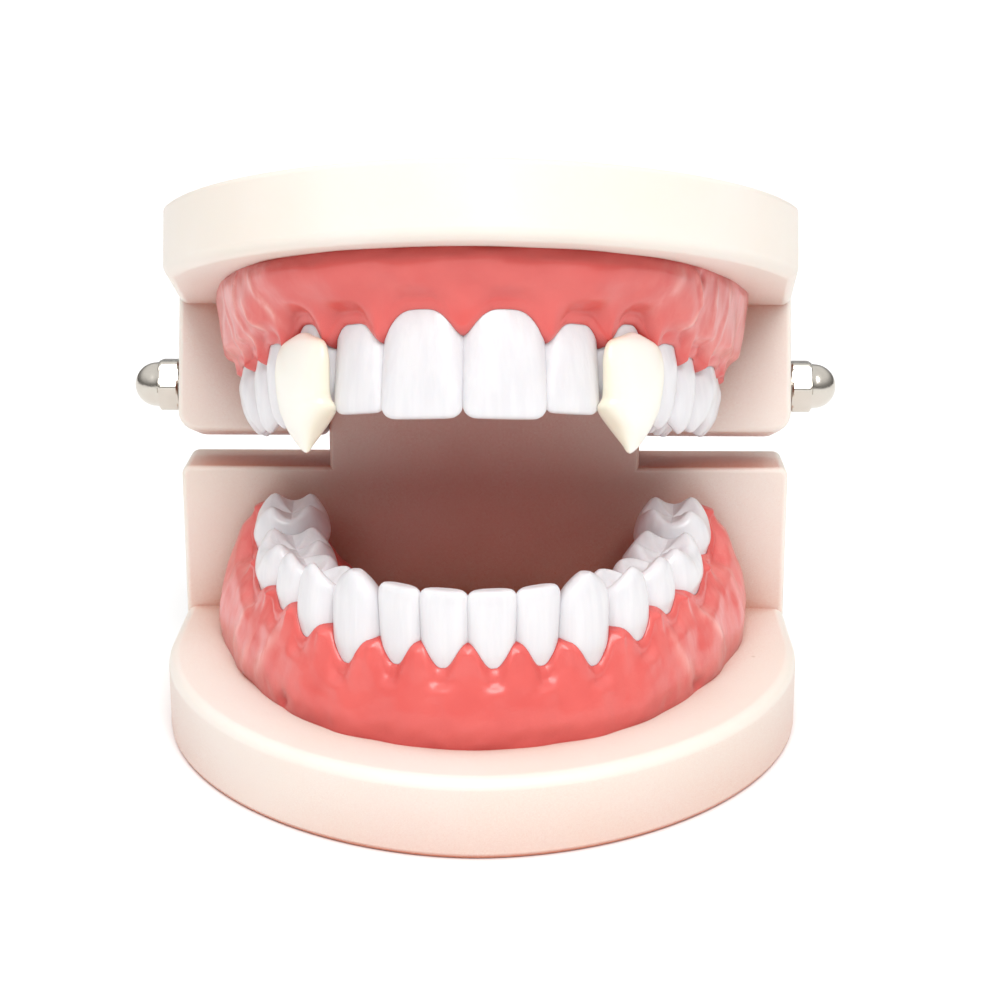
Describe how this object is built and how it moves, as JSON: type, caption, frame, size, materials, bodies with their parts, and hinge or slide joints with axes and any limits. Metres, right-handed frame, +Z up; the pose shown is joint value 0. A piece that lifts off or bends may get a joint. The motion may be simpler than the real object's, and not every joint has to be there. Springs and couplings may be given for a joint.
{
  "type": "vampire fang caps on a hinged dental display model",
  "caption": "Pair of clip-on vampire fang caps worn on the upper canines of a hinged dental model with pink gums and cream base plates.",
  "frame": {"origin": "middle of the lower base plate's underside", "axes": "+Z up, the open front of the jaws faces -Y, the hinge bolt runs along X at the rear; left is -X as the viewer sees it"},
  "size_m": [0.0892, 0.0694, 0.0729],
  "materials": {
    "base_plastic": "satin moulded cream plastic",
    "gum_plastic": "glossy salmon pink gum with pale streaks",
    "tooth_plastic": "smooth cool white, faint upright striations",
    "fang_resin": "smooth ivory, yellower at the edges",
    "hinge_steel": "polished nickel-plated steel"
  },
  "bodies": {
    "lower_jaw": {"lower_base": "base_plastic", "lower_gum": "gum_plastic", "lower_left_central_incisor": "tooth_plastic", "lower_left_lateral_incisor": "tooth_plastic", "lower_left_canine": "tooth_plastic", "lower_left_first_premolar": "tooth_plastic", "lower_left_second_premolar": "tooth_plastic", "lower_left_first_molar": "tooth_plastic", "lower_left_second_molar": "tooth_plastic", "lower_right_central_incisor": "tooth_plastic", "lower_right_lateral_incisor": "tooth_plastic", "lower_right_canine": "tooth_plastic", "lower_right_first_premolar": "tooth_plastic", "lower_right_second_premolar": "tooth_plastic", "lower_right_first_molar": "tooth_plastic", "lower_right_second_molar": "tooth_plastic"},
    "upper_jaw": {"upper_base": "base_plastic", "upper_gum": "gum_plastic", "upper_left_central_incisor": "tooth_plastic", "upper_left_lateral_incisor": "tooth_plastic", "upper_left_canine": "tooth_plastic", "upper_left_first_premolar": "tooth_plastic", "upper_left_second_premolar": "tooth_plastic", "upper_left_first_molar": "tooth_plastic", "upper_left_second_molar": "tooth_plastic", "upper_right_central_incisor": "tooth_plastic", "upper_right_lateral_incisor": "tooth_plastic", "upper_right_canine": "tooth_plastic", "upper_right_first_premolar": "tooth_plastic", "upper_right_second_premolar": "tooth_plastic", "upper_right_first_molar": "tooth_plastic", "upper_right_second_molar": "tooth_plastic", "fang_cap_left": "fang_resin", "fang_cap_right": "fang_resin", "hinge_bolt": "hinge_steel", "nut_left": "hinge_steel", "nut_right": "hinge_steel"}
  },
  "joints": [
    {"name": "jaw_hinge", "type": "hinge", "parent": "lower_jaw", "child": "upper_jaw", "pos_m": [0, 0.02775, 0.0375], "axis": [-1, 0, 0], "range_deg": [-19, 72]}
  ]
}
